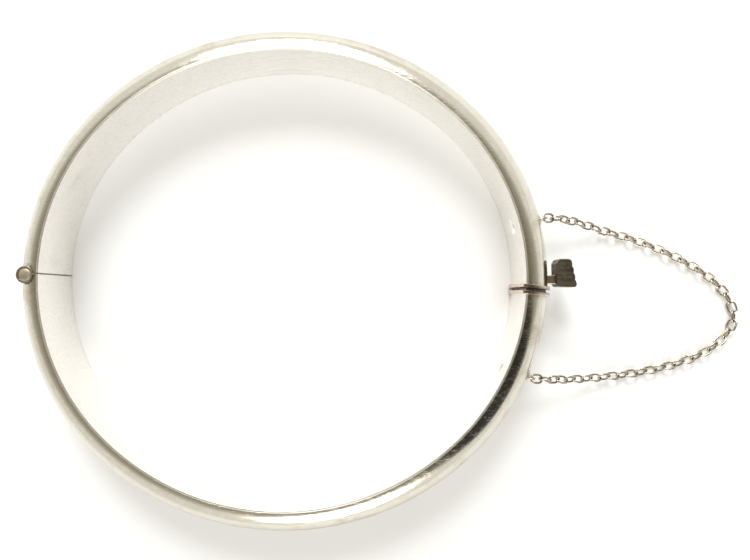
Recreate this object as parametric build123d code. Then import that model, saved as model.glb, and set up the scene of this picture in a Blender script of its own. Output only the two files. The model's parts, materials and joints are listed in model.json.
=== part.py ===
"""Hinged silver bangle with a box-and-tongue clasp and a safety chain.

Millimetres, +Z up. The bangle lies on one rim, which is at Z = 0. The origin is the
centre of the wrist opening on that rim, +X points to the clasp and -X to the hinge.
"""

from build123d import *
import math
import os

os.makedirs("parts", exist_ok=True)

# Band: an oval of four tangent arcs, with a D section that is domed outside
inner_length = 58.0
inner_width = 54.9
band_width = 8.0
band_thickness = 3.5
shell_wall = 0.35
lining_thickness = 0.27

# Hinge at the back of the band: two knuckles on the upper half, one on the lower
hinge_inset = 1.70
hinge_offset = 0.36
knuckle_radius = 1.05
pin_radius = 0.75
pin_clearance = 0.03
pin_chamfer = 0.03
knuckle_gap = 0.10
centre_knuckle_length = 2.60
knuckle_end_inset = 0.10
barrel_clearance = 0.10
seat_depth = 0.75
hinge_slit = 0.12
upper_lip_angle = 186.0
lower_lip_angle = 211.0

# Clasp: an end plate on each half, tilted a little from the oval's own radius
clasp_offset = -1.30
clasp_tilt = -6.0
clasp_gap = 0.34
plate_thickness = 0.45
plate_inner_overhang = 0.35
plate_outer_overhang = 0.35
plate_corner = 0.30

# Folded spring tongue, its box, and the thumb-piece on its free leaf
strip_thickness = 0.25
strip_width = 2.90
strip_depth = 0.60
tongue_reach = 5.20
tongue_root = 1.40
fold_radius = 0.40
leaf_gap = 0.05
leaf_rise = 0.55
leaf_end = 0.80
box_wall = 0.20
box_clearance = 0.20
box_side_clearance = 0.20
box_height = 1.65
box_reach = 5.60
stem_length = 0.75
stem_width = 1.20
stem_bite = 0.15
stem_clearance = 0.25
thumb_standoff = 1.00
thumb_length = 3.20
thumb_depth = 1.90
thumb_slant = 0.70
thumb_width = 2.60
thumb_overlap = 0.35
groove_radius = 0.34
groove_count = 3

# Safety chain: a trace chain between an eye on each half
upper_eye_angle = 14.3
lower_eye_angle = -23.9
eye_standoff = 1.00
eye_ring_radius = 0.55
eye_wire_radius = 0.20
eye_clearance = 0.04
eye_post_radius = 0.45
eye_base_radius = 0.85
eye_base_rise = 0.25
rivet_radius = 1.08
rivet_thickness = 0.18
link_count = 49
link_pitch = 1.26
link_wire_radius = 0.135
link_half_width = 0.515
link_clearance = 0.03
middle_slack = 0.04
chain_rest_height = 0.52
roll_links = 3

# The chain's route by hand: how far out from the eyes, how far to the side as a share
# of half the distance between them, and how much of the eyes' height is left
chain_route = [
    (2.2, 1.02, 0.74),
    (5.2, 1.00, 0.40),
    (8.5, 0.945, 0.12),
    (12.1, 0.88, 0.0),
    (16.2, 0.77, 0.0),
    (20.2, 0.62, 0.0),
    (23.6, 0.44, 0.0),
    (26.1, 0.205, 0.0),
    (27.0, -0.06, 0.0),
    (25.8, -0.305, 0.0),
    (22.8, -0.55, 0.0),
    (18.7, -0.73, 0.0),
    (14.2, -0.86, 0.0),
    (9.9, -0.94, 0.12),
    (6.0, -0.985, 0.40),
    (2.9, -1.00, 0.74),
]

mid_height = band_width / 2
far = 4 * inner_length

# The oval: the end arcs' centres are on X, the side arcs' centres on Y
arc_difference = (inner_length - inner_width) / 2 / (math.sqrt(2) - 1)
arc_centre = arc_difference / math.sqrt(2)
end_radius = inner_length / 2 - arc_centre
side_radius = end_radius + arc_difference

hinge = Vector(-inner_length / 2 - hinge_inset, hinge_offset)
link_reach = link_pitch / 2 + link_wire_radius + link_clearance / 2


def direction(degrees):
    """A level unit vector at this angle from +X."""
    return Vector(math.cos(math.radians(degrees)), math.sin(math.radians(degrees)))


def upright(origin, outward):
    """A vertical plane whose local X is outward and whose local Y is +Z."""
    return Plane(origin=origin, x_dir=outward, z_dir=outward.cross(Vector(0, 0, 1)))


def oval_band(profile):
    """The profile, drawn as (outward, up) from the oval's inner edge, carried all round it."""
    arcs = [
        (Vector(arc_centre, 0), end_radius, -45),
        (Vector(0, -arc_centre), side_radius, 45),
        (Vector(-arc_centre, 0), end_radius, 135),
        (Vector(0, arc_centre), side_radius, 225),
    ]
    quarters = []
    for centre, radius, start in arcs:
        place = upright(centre + direction(start) * radius, direction(start))
        axis = Axis(centre, (0, 0, 1))
        quarters.append(revolve(place * profile, axis=axis, revolution_arc=90))
    return quarters[0].fuse(*quarters[1:])


def dome(out, half_height, inner):
    """Half an ellipse, domed outward from the inner line, about the band's mid-height."""
    whole = Pos(0, mid_height) * Ellipse(out, half_height)
    return whole & Pos(inner + far / 2, mid_height) * Rectangle(far, far)


def cylinder_at(point, radius, bottom, top):
    """An upright cylinder between two heights."""
    place = Pos(point.X, point.Y, bottom)
    return place * extrude(Circle(radius), top - bottom)


def prism(points):
    """An outline in plan, as tall as anything here."""
    outline = make_face(Polyline(*[(p.X, p.Y) for p in points], close=True))
    return extrude(Pos(0, 0, -far / 2) * outline, far)


# Clasp frame: the point on the inner edge, the outward direction and the closing direction
clasp_out = direction(clasp_tilt)
clasp_along = direction(clasp_tilt + 90)
clasp_angle = math.degrees(math.asin(clasp_offset / end_radius))
clasp_point = Vector(arc_centre, 0) + direction(clasp_angle) * end_radius
clasp_swing = clasp_point - hinge
swing_radius = clasp_swing.length
swing_angle = math.degrees(math.atan2(clasp_swing.Y, clasp_swing.X))


def half_space(along, lip_angle, slit, side):
    """All that is on one side (+1 upper, -1 lower) of the clasp line and the hinge faces."""
    edge = clasp_point + clasp_along * along
    corner = Vector(far, side * far)
    return prism([
        edge + clasp_out * far,
        corner,
        Vector(-far, side * far),
        hinge + direction(lip_angle) * far,
        hinge,
        hinge + Vector(2 * knuckle_radius, slit),
        edge - clasp_out * plate_inner_overhang * 4,
    ])


def swung(depth, height, start, end, width):
    """A bar bent about the hinge axis: depth and height from the clasp point, between two
    arc lengths from the clasp, so that it slides along itself as the bangle opens."""
    first = swing_angle + math.degrees(start / swing_radius)
    turn = math.degrees((end - start) / swing_radius)
    place = upright(hinge + direction(first) * swing_radius, direction(first))
    section = Pos(depth + height / 2, mid_height) * Rectangle(height, width)
    return revolve(place * section, axis=Axis(hinge, (0, 0, 1)), revolution_arc=turn)


def swing_point(depth, along):
    """A point in plan at a depth outward and an arc length from the clasp point."""
    angle = swing_angle + math.degrees(along / swing_radius)
    return hinge + direction(angle) * (swing_radius + depth)


def band_point(angle, out):
    """A point at mid-height on the clasp end of the oval, out from its inner edge."""
    centre = Vector(arc_centre, 0, mid_height)
    return centre + direction(angle) * (end_radius + out)


parts = {}

# Chain eyes: a post through lining and shell, a base in the shell and a ring outside
eye_angles = {"upper": upper_eye_angle, "lower": lower_eye_angle}
eye_pivots = {}
for side, angle in eye_angles.items():
    out = direction(angle)
    radial = Plane(origin=band_point(angle, 0), x_dir=(0, 0, 1), z_dir=out)
    base_start = band_thickness - 2 * shell_wall
    base_end = band_thickness + eye_base_rise
    post = Pos(0, 0, -rivet_thickness) * extrude(Circle(eye_post_radius), base_end)
    base = Pos(0, 0, base_start) * extrude(Circle(eye_base_radius), base_end - base_start)
    ring_out = band_thickness + eye_standoff - eye_ring_radius
    ring = upright(band_point(angle, ring_out), out) * Torus(eye_ring_radius, eye_wire_radius)
    disc = Pos(0, 0, -rivet_thickness) * extrude(
        Circle(rivet_radius) - Circle(eye_post_radius), rivet_thickness
    )
    parts[f"{side}_chain_eye"] = radial * (post + base) + ring
    parts[f"{side}_eye_rivet"] = radial * disc
    eye_pivots[side] = band_point(angle, band_thickness + eye_standoff)

# Band: a domed shell and a flat lining for each half
shell_profile = dome(band_thickness, mid_height, lining_thickness) - dome(
    band_thickness - shell_wall, mid_height - shell_wall, 0
)
hollow_profile = dome(
    band_thickness - shell_wall, mid_height - shell_wall, lining_thickness
)
lining_profile = Pos(lining_thickness / 2, mid_height) * Rectangle(
    lining_thickness, band_width
)
plate_start = clasp_gap / 2
band_start = plate_start + plate_thickness
halves = {
    "upper": half_space(band_start, upper_lip_angle, 2 * hinge_slit, 1),
    "lower": half_space(-band_start, lower_lip_angle, hinge_slit, -1),
}
barrel_room = cylinder_at(hinge, knuckle_radius + barrel_clearance, 0, band_width)
shell_ring = oval_band(shell_profile)
lining_ring = oval_band(lining_profile)
hollow_ring = oval_band(hollow_profile)
for side, region in halves.items():
    eye = parts[f"{side}_chain_eye"]
    parts[f"{side}_shell"] = (shell_ring & region) - barrel_room - eye
    parts[f"{side}_lining"] = (lining_ring & region) - barrel_room - eye
    parts[f"{side}_eye_rivet"] = parts[f"{side}_eye_rivet"] - parts[f"{side}_lining"]

# Hinge: knuckles, their seats inside the hollow ends, and the pin
centre_bottom = mid_height - centre_knuckle_length / 2
centre_top = mid_height + centre_knuckle_length / 2
outer_bottom = knuckle_end_inset
outer_top = band_width - knuckle_end_inset


def knuckle(bottom, top, bore):
    """A length of hinge tube."""
    tube = cylinder_at(hinge, knuckle_radius, bottom, top)
    return tube - cylinder_at(hinge, bore, bottom, top)


parts["upper_knuckle_top"] = knuckle(centre_top + knuckle_gap, outer_top, pin_radius)
parts["upper_knuckle_bottom"] = knuckle(
    outer_bottom, centre_bottom - knuckle_gap, pin_radius
)
parts["lower_knuckle"] = knuckle(centre_bottom, centre_top, pin_radius + pin_clearance)
pin = cylinder_at(hinge, pin_radius, outer_bottom / 2, band_width - outer_bottom / 2)
parts["hinge_pin"] = chamfer(pin.edges().filter_by(GeomType.CIRCLE), pin_chamfer)


def barrel(clear_bottom, clear_top):
    """The hinge barrel with running room between two heights, to cut a seat with."""
    room = knuckle_radius + barrel_clearance
    tight = cylinder_at(hinge, knuckle_radius, -knuckle_gap, band_width + knuckle_gap)
    return tight + cylinder_at(hinge, room, clear_bottom, clear_top)


seat_radius = knuckle_radius + barrel_clearance + seat_depth
seat_ring = hollow_ring & cylinder_at(hinge, seat_radius, 0, band_width)
upper_barrel = barrel(centre_bottom - knuckle_gap, centre_top + knuckle_gap)
lower_barrel = barrel(-knuckle_gap, centre_bottom) + barrel(centre_top, band_width + knuckle_gap)
parts["upper_hinge_seat"] = (seat_ring & halves["upper"]) - upper_barrel
parts["lower_hinge_seat"] = (seat_ring & halves["lower"]) - lower_barrel

# Clasp end plates
plate_rim = Pos(-plate_inner_overhang / 2, mid_height) * Rectangle(
    plate_inner_overhang, band_width
)
plate_rim = fillet(plate_rim.vertices().group_by(Axis.X)[0], plate_corner)
plate_profile = dome(band_thickness + plate_outer_overhang, mid_height, 0) + plate_rim


def end_plate(start):
    """An end plate whose lower-half face is this far along from the clasp line."""
    place = Plane(
        origin=clasp_point + clasp_along * start, x_dir=clasp_out, z_dir=-clasp_along
    )
    return place * extrude(plate_profile, -plate_thickness)


strip_inner = strip_depth
box_inner = strip_inner - box_clearance / 2
box_width = strip_width + 2 * box_side_clearance
stem_slot_width = stem_width + 2 * stem_clearance
stem_slot = swung(
    box_inner, inner_length / 2, -band_start * 2, leaf_end + stem_length + stem_clearance,
    stem_slot_width,
)
box_room = swung(box_inner, box_height, -band_start * 2, box_reach, box_width)
strip = swung(strip_inner, strip_thickness, -tongue_root, tongue_reach - fold_radius, strip_width)

parts["upper_end_plate"] = end_plate(plate_start) - box_room - stem_slot
parts["lower_end_plate"] = end_plate(-band_start) - strip
parts["upper_shell"] = parts["upper_shell"] - stem_slot
box = swung(
    box_inner - box_wall, box_height + 2 * box_wall, plate_start / 2, box_reach,
    box_width + 2 * box_wall,
)
parts["clasp_box"] = (box & halves["upper"]) - box_room - stem_slot

# Folded tongue: a root strip, the fold, and the spring leaf
fold_along = tongue_reach - fold_radius
fold_centre = swing_point(strip_inner + fold_radius, fold_along)
fold_angle = swing_angle + math.degrees(fold_along / swing_radius)
strip_bottom = mid_height - strip_width / 2
strip_top = mid_height + strip_width / 2
fold_ring = cylinder_at(fold_centre, fold_radius, strip_bottom, strip_top) - cylinder_at(
    fold_centre, fold_radius - strip_thickness, strip_bottom, strip_top
)
fold_across = direction(fold_angle)
fold_ahead = direction(fold_angle + 90)
ahead = prism([
    fold_centre - fold_across * far,
    fold_centre + fold_across * far,
    fold_centre + fold_across * far + fold_ahead * far,
    fold_centre - fold_across * far + fold_ahead * far,
])
parts["tongue_strip"] = strip + (fold_ring & ahead)


def bar(start, end, thickness, bottom, top):
    """A straight bar in plan whose outer edge runs from start to end."""
    along = (end - start).normalized()
    across = Vector(-along.Y, along.X)
    corners = [start, end, end + across * thickness, start + across * thickness]
    outline = make_face(Polyline(*[(p.X, p.Y) for p in corners], close=True))
    return extrude(Pos(0, 0, bottom) * outline, top - bottom)


leaf_inner = strip_inner + 2 * fold_radius
leaf_start = swing_point(leaf_inner, fold_along - leaf_gap)
leaf_tip = swing_point(leaf_inner + leaf_rise, leaf_end)
leaf = bar(leaf_start, leaf_tip, -strip_thickness, strip_bottom, strip_top)
parts["spring_leaf"] = leaf

# Thumb-piece: a wedge with grooves on its outer face, on a stem from the leaf
thumb_inner = band_thickness + thumb_standoff
near = swing_point(thumb_inner + thumb_depth + thumb_slant, thumb_overlap)
away = swing_point(thumb_inner + thumb_depth, thumb_overlap + thumb_length)
thumb_corners = [
    swing_point(thumb_inner, thumb_overlap),
    near,
    away,
    swing_point(thumb_inner, thumb_overlap + thumb_length),
]
thumb_outline = make_face(Polyline(*[(p.X, p.Y) for p in thumb_corners], close=True))
thumb_outline = fillet(thumb_outline.vertices().sort_by(Axis.X)[-2:], groove_radius)
for groove in range(groove_count):
    middle = near + (away - near) * (groove + 1) / (groove_count + 1)
    thumb_outline -= Pos(middle.X, middle.Y) * Circle(groove_radius)
thumb = extrude(Pos(0, 0, mid_height - thumb_width / 2) * thumb_outline, thumb_width)
stem_foot = leaf_inner + leaf_rise - stem_bite
stem = swung(
    stem_foot, thumb_inner - stem_foot, leaf_end, leaf_end + stem_length, stem_width
)
parts["thumb_piece"] = thumb + (stem - leaf)

# Safety chain: links threaded through each other along a hand-laid route
eye_middle = (eye_pivots["upper"] + eye_pivots["lower"]) / 2
eye_half_gap = (eye_pivots["upper"] - eye_pivots["lower"]).length / 2
eye_side = (eye_pivots["upper"] - eye_pivots["lower"]).normalized()
eye_outward = eye_side.cross(Vector(0, 0, 1))
end_pull = eye_wire_radius + eye_clearance
first_pitch = link_pitch - end_pull
chain_length = (link_count - 2) * link_pitch + 2 * first_pitch - middle_slack


def route(stretch):
    """The chain's line from eye to eye, with its outward reach stretched."""
    points = [eye_pivots["upper"]]
    for reach, side, lift in chain_route:
        point = eye_middle + eye_outward * (reach * stretch) + eye_side * (side * eye_half_gap)
        height = chain_rest_height + lift * (mid_height - chain_rest_height)
        points.append(Vector(point.X, point.Y, height))
    points.append(eye_pivots["lower"])
    return Spline(*points)


def fitted_route():
    """The route stretched until it is as long as the chain."""
    low = 0.5
    high = 2.0
    while high - low > 0.00001:
        middle = (low + high) / 2
        if route(middle).length > chain_length:
            high = middle
        else:
            low = middle
    return route(low)


chain_line = fitted_route()
middle_link = link_count // 2


def strand_pivots(count, from_lower_eye):
    """The points that one strand's links turn about, from its eye inward."""
    found = []
    for link in range(count + 1):
        travelled = max(0, first_pitch + (link - 1) * link_pitch)
        share = travelled / chain_line.length
        found.append(chain_line.position_at(1 - share if from_lower_eye else share))
    return found


upper_pivots = strand_pivots(middle_link + 1, False)
lower_pivots = strand_pivots(middle_link, True)


def chain_link():
    """One link in its own plane, long in X: two half rings of wire and two straights."""
    straight = 2 * (link_reach - link_half_width)
    centre = Vector(straight / 2, 0)
    wire = Pos(link_half_width, 0) * Circle(link_wire_radius)
    start = upright(centre, direction(-90))
    bend = revolve(start * wire, axis=Axis(centre, (0, 0, 1)), revolution_arc=180)
    side = Plane(origin=centre, x_dir=(0, 1, 0), z_dir=(-1, 0, 0)) * extrude(wire, straight)
    half = bend + side
    return half + Rot(0, 0, 180) * half


def link_place(pivots, index, hand):
    """Where a link lies: its ends reach past its two pivots by the same amount, and each
    is rolled a quarter turn from the last, the way that the strand's hand says."""
    start = pivots[index]
    end = pivots[index + 1]
    along = (end - start).normalized()
    middle = (start + end) / 2
    if index == 0:
        middle -= along * (end_pull / 2)
    flat = along.cross(Vector(0, 0, 1)).cross(along)
    roll = hand * (90 * (index % 2) - 45 * min(1, index / roll_links))
    return Plane(origin=middle, x_dir=along, z_dir=flat) * Rot(roll, 0, 0)


template = chain_link()
strands = {"upper": (upper_pivots, 1), "lower": (lower_pivots, -1)}
for side, (pivots, hand) in strands.items():
    places = [link_place(pivots, index, hand) for index in range(len(pivots) - 1)]
    links = [place * template for place in places]
    for index in range(0, middle_link, 2):
        number = index // 2 + 1
        pair = Compound([links[index], links[index + 1]])
        parts[f"chain_{side}_links_{number:02d}"] = pair
    if side == "upper":
        parts["chain_middle_link"] = links[middle_link]

for node, shape in parts.items():
    export_step(shape, f"parts/{node}.step")
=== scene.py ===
"""Looks of a hinged silver bangle with a box clasp, a thumb-piece and a safety chain.

Metres, +Z up. The bangle lies on one rim, +X points to the clasp and -X to the hinge.
"""

import json
import math
import random

import bmesh
import bpy
import numpy as np
from bpy.props import FloatProperty, FloatVectorProperty, PointerProperty
from mathutils import Matrix, Vector, noise


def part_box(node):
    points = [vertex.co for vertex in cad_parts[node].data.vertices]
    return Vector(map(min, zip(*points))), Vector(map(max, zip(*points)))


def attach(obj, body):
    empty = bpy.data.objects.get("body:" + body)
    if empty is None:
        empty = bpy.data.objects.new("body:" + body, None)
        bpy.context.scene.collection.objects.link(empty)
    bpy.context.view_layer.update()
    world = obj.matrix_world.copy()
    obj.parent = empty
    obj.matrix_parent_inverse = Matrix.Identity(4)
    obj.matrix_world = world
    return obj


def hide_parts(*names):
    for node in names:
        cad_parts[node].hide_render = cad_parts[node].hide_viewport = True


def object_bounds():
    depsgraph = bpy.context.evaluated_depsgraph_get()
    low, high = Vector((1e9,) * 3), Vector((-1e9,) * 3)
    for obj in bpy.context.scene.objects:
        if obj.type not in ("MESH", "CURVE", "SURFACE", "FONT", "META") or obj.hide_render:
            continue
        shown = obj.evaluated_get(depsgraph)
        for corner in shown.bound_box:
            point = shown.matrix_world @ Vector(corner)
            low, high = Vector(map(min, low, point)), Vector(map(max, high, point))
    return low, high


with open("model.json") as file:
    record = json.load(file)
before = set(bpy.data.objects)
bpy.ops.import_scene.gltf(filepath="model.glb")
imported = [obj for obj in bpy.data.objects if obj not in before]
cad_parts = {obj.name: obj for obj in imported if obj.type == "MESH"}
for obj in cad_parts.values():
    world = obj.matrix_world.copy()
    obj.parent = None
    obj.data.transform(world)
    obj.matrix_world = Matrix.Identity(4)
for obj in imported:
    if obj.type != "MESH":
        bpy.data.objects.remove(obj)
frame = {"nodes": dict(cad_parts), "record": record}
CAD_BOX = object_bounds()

bl_info = {
    "name": "Hinged bangle",
    "version": (1, 0, 0),
    "blender": (4, 5, 0),
    "location": "3D View > Sidebar > Bangle",
    "description": "Builds a hinged silver bangle with its clasp, thumb-piece and safety chain",
    "category": "Object",
}

MM = 0.001
JOINTS = {joint["name"]: Vector(joint["pos_m"]) for joint in frame["record"]["behaviour"]["joints"]}
SHELL_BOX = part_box("upper_shell")
LINING_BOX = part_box("upper_lining")
BAND_TOP = SHELL_BOX[1].z
MID_HEIGHT = BAND_TOP / 2
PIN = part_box("hinge_pin")


def length(label, text, value, low=0.0):
    """A size in metres that a user may change, given in millimetres."""
    return FloatProperty(
        name=label, description=text, default=value * MM, min=low,
        unit="LENGTH", subtype="DISTANCE", precision=5,
    )


def colour(label, text, value):
    """A metal's or surface's colour that a user may change."""
    return FloatVectorProperty(
        name=label, description=text, default=value, min=0.0, max=1.0, size=3, subtype="COLOR",
    )


class BangleSizes(bpy.types.PropertyGroup):
    """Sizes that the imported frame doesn't say outright."""

    lining: length("Lining thickness", "Thickness of the flat inner lining", 0.27)
    wall: length("Shell wall", "Thickness of the domed outer shell", 0.35)
    seam: length("Seam", "Rounding where the shell's edge meets the lining", 0.05)
    lining_edge: length("Lining edge", "Rounding of the lining's edges", 0.055)
    waviness: length("Waviness", "How far a worn hollow shell strays from true", 0.010)
    clasp_drop: length("Clasp drop", "How far the clasp lies below the middle", 1.30)
    clasp_tilt: FloatProperty(
        name="Clasp tilt", description="Turn of the clasp faces from the middle line",
        default=math.radians(-6.0), unit="ROTATION", subtype="ANGLE",
    )
    clasp_gap: length("Clasp gap", "Gap between the two end plates", 0.34)
    plate: length("End plate", "Thickness of an end plate", 0.45)
    plate_overhang: length("Plate overhang", "How far an end plate stands proud", 0.35)
    plate_soft: length("Plate edge", "Softened edge of an end plate", 0.07)
    barrel: length("Barrel radius", "Outer radius of the hinge tubes", 1.05)
    barrel_room: length("Barrel room", "Radius cut from the band around the hinge", 1.15)
    bore: length("Barrel bore", "Radius of the hinge pin", 0.75)
    slit: length("Hinge slit", "Gap between the halves on the inside of the hinge", 0.12)
    solder: length("Solder", "How far solder spreads around the hinge tubes", 0.42)
    strip: length("Spring strip", "Thickness of the folded tongue's strip", 0.25)
    link_reach: length("Link reach", "Half length of a link to the middle of its wire", 0.78)
    link_half_width: length("Link half width", "Half width of a link to its wire's middle", 0.515)
    link_wire: length("Link wire", "Radius of the chain's wire", 0.135)


class BangleColours(bpy.types.PropertyGroup):
    """Colours of the metals and the floor."""

    silver: colour("Silver", "Clean worn silver", (0.68, 0.65, 0.57))
    # On the rims this colour also stands for a painted reflection.
    tarnish: colour("Tarnish", "Champagne brown tarnish on the rims", (0.50, 0.445, 0.34))
    # The deep colour serves real pits and also painted shade in gaps and corners.
    deep_tarnish_and_shade: colour("Deep tarnish", "Dark olive tarnish in pits and corners", (0.13, 0.115, 0.085))
    lining: colour("Lining", "Pale inner lining", (0.96, 0.94, 0.90))
    rose: colour("Rose silver", "Copper-tinted silver of the end plates", (0.83, 0.64, 0.54))
    chain: colour("Chain", "Warm silver of the chain's wire", (0.66, 0.59, 0.50))
    pin: colour("Pin", "Olive brown of the worn pin head", (0.44, 0.385, 0.26))
    spring: colour("Spring", "Hard rolled strip", (0.72, 0.68, 0.60))
    floor: colour("Floor", "Pale paper under the bangle", (0.93, 0.93, 0.93))


def unit(angle):
    """A level direction at this angle from +X."""
    return Vector((math.cos(angle), math.sin(angle), 0.0))


def smooth_step(low, high, value):
    """0 below low, 1 above high and a soft ramp between."""
    share = min(1.0, max(0.0, (value - low) / (high - low)))
    return share * share * (3 - 2 * share)


# ---------------------------------------------------------------- the band's shape


class Band:
    """The oval's four arcs, the clasp plane and the hinge, in plan."""

    def __init__(self, sizes):
        self.sizes = sizes
        half_width = LINING_BOX[1].y - sizes.lining
        self.thickness = SHELL_BOX[1].y - half_width
        half_length = -SHELL_BOX[0].x - self.thickness
        difference = (half_length - half_width) / (math.sqrt(2) - 1)
        self.arc_centre = difference / math.sqrt(2)
        self.end_radius = half_length - self.arc_centre
        self.side_radius = self.end_radius + difference
        self.hinge = Vector((*JOINTS["band_hinge"].xy, 0.0))
        self.clasp_out = unit(sizes.clasp_tilt)
        self.clasp_along = unit(sizes.clasp_tilt + math.pi / 2)
        turn = math.asin(-sizes.clasp_drop / self.end_radius)
        self.clasp = Vector((self.arc_centre, 0, 0)) + unit(turn) * self.end_radius
        swing = self.clasp - self.hinge
        self.swing_radius = swing.length
        self.swing_angle = math.atan2(swing.y, swing.x)

    def point(self, angle, out, height=0.0):
        """A point out from the inner edge, where the edge faces this angle."""
        quarter = round(angle / (math.pi / 2))
        along_x = quarter % 2 == 0
        radius = self.end_radius if along_x else self.side_radius
        reach = self.arc_centre if along_x else -self.arc_centre
        centre = unit(quarter * math.pi / 2) * reach
        return centre + unit(angle) * (radius + out) + Vector((0, 0, height))

    def clasp_end(self, out, along):
        """The angle where a line at this distance out meets a plane along from the clasp."""
        radius = self.end_radius + out
        start = self.clasp_along.dot(self.clasp - Vector((self.arc_centre, 0, 0))) + along
        return self.sizes.clasp_tilt + math.pi / 2 - math.acos(start / radius)

    def hinge_end(self, out, side):
        """The angle where a line at this distance out stops at the hinge barrel or slit."""
        radius = self.end_radius + out
        across = -self.arc_centre - radius - self.hinge.x
        slit = self.sizes.slit * (2.4 if side > 0 else 0.3)
        if across > 0:
            rise = across * slit / (2 * self.sizes.barrel)
        else:
            lip = math.radians(186.0 if side > 0 else 211.0)
            rise = across * math.tan(lip)
        room = self.sizes.barrel_room
        if abs(across) < room:
            barrel = side * math.sqrt(room * room - across * across)
            rise = max(rise, barrel) if side > 0 else min(rise, barrel)
        return math.pi - math.asin((self.hinge.y + rise) / radius)

    def dome_height(self, out, inset=0.0):
        """Height of the dome's upper surface at this distance out."""
        share = min(1.0, out / (self.thickness - inset))
        return MID_HEIGHT + (MID_HEIGHT - inset) * math.sqrt(1 - share * share)

    def swing_point(self, depth, along, height=0.0):
        """A point at a depth out from the clasp and an arc length along the tongue's swing."""
        angle = self.swing_angle + along / self.swing_radius
        return self.hinge + unit(angle) * (self.swing_radius + depth) + Vector((0, 0, height))


# ---------------------------------------------------------------- mesh helpers


def new_object(name, points, faces, material, sharp=38.0):
    """A mesh object with even normals, smooth apart from its sharp edges."""
    mesh = bpy.data.meshes.new(name)
    mesh.from_pydata([tuple(point) for point in points], [], faces)
    work = bmesh.new()
    work.from_mesh(mesh)
    bmesh.ops.remove_doubles(work, verts=work.verts, dist=0.0005 * MM)
    bmesh.ops.recalc_face_normals(work, faces=work.faces)
    work.to_mesh(mesh)
    work.free()
    mesh.shade_smooth()
    mesh.set_sharp_from_angle(angle=math.radians(sharp))
    mesh.materials.append(material)
    piece = bpy.data.objects.new(name, mesh)
    bpy.context.scene.collection.objects.link(piece)
    return piece


def settle(piece, body, slot, *nodes):
    """The piece rides on its body and stands for its nodes. The slot is not used."""
    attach(piece, body)
    if nodes:
        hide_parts(*nodes)


def soften(piece, width, segments=3, angle=30.0):
    """Rounds a piece's sharp edges."""
    bevel = piece.modifiers.new("Softened edges", "BEVEL")
    bevel.width = width
    bevel.segments = segments
    bevel.limit_method = "ANGLE"
    bevel.angle_limit = math.radians(angle)
    bevel.harden_normals = True
    bevel.use_clamp_overlap = True


def ring_faces(rows, columns, closed_rows=False, closed_columns=True):
    """Quads over a grid of points, rows first."""
    faces = []
    for row in range(rows if closed_rows else rows - 1):
        for column in range(columns if closed_columns else columns - 1):
            following = (row + 1) % rows
            beside = (column + 1) % columns
            faces.append((
                row * columns + column, row * columns + beside,
                following * columns + beside, following * columns + column,
            ))
    return faces


def slab(name, outline, bottom, top, material, sharp=38.0):
    """A level outline raised between two heights."""
    count = len(outline)
    points = [Vector((p.x, p.y, bottom)) for p in outline]
    points += [Vector((p.x, p.y, top)) for p in outline]
    faces = [tuple(range(count)), tuple(range(count, 2 * count))]
    faces += ring_faces(2, count)
    return new_object(name, points, faces, material, sharp)


def turned(name, profile, base, axis, material, segments=64, sharp=38.0):
    """A turned piece: a profile of (radius, height) carried round an axis from its base."""
    axis = axis.normalized()
    across = axis.orthogonal().normalized()
    beside = axis.cross(across)
    points = []
    for radius, height in profile:
        for step in range(segments):
            angle = 2 * math.pi * step / segments
            level = across * math.cos(angle) + beside * math.sin(angle)
            points.append(base + axis * height + level * radius)
    faces = ring_faces(len(profile), segments)
    faces.append(tuple(range(segments)))
    last = (len(profile) - 1) * segments
    faces.append(tuple(range(last, last + segments)))
    return new_object(name, points, faces, material, sharp)


def tube(path, radii, segments, closed=True):
    """Points and faces of a round wire carried along a path."""
    count = len(path)
    points = []
    for index, point in enumerate(path):
        before = path[index - 1] if closed or index else point
        after = path[(index + 1) % count] if closed or index < count - 1 else point
        along = (after - before).normalized()
        side = along.cross(Vector((0, 0, 1))).normalized()
        up = side.cross(along)
        for step in range(segments):
            angle = 2 * math.pi * step / segments
            points.append(point + (side * math.cos(angle) + up * math.sin(angle)) * radii[index])
    return points, ring_faces(count, segments, closed_rows=closed)


# ---------------------------------------------------------------- metals


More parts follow.
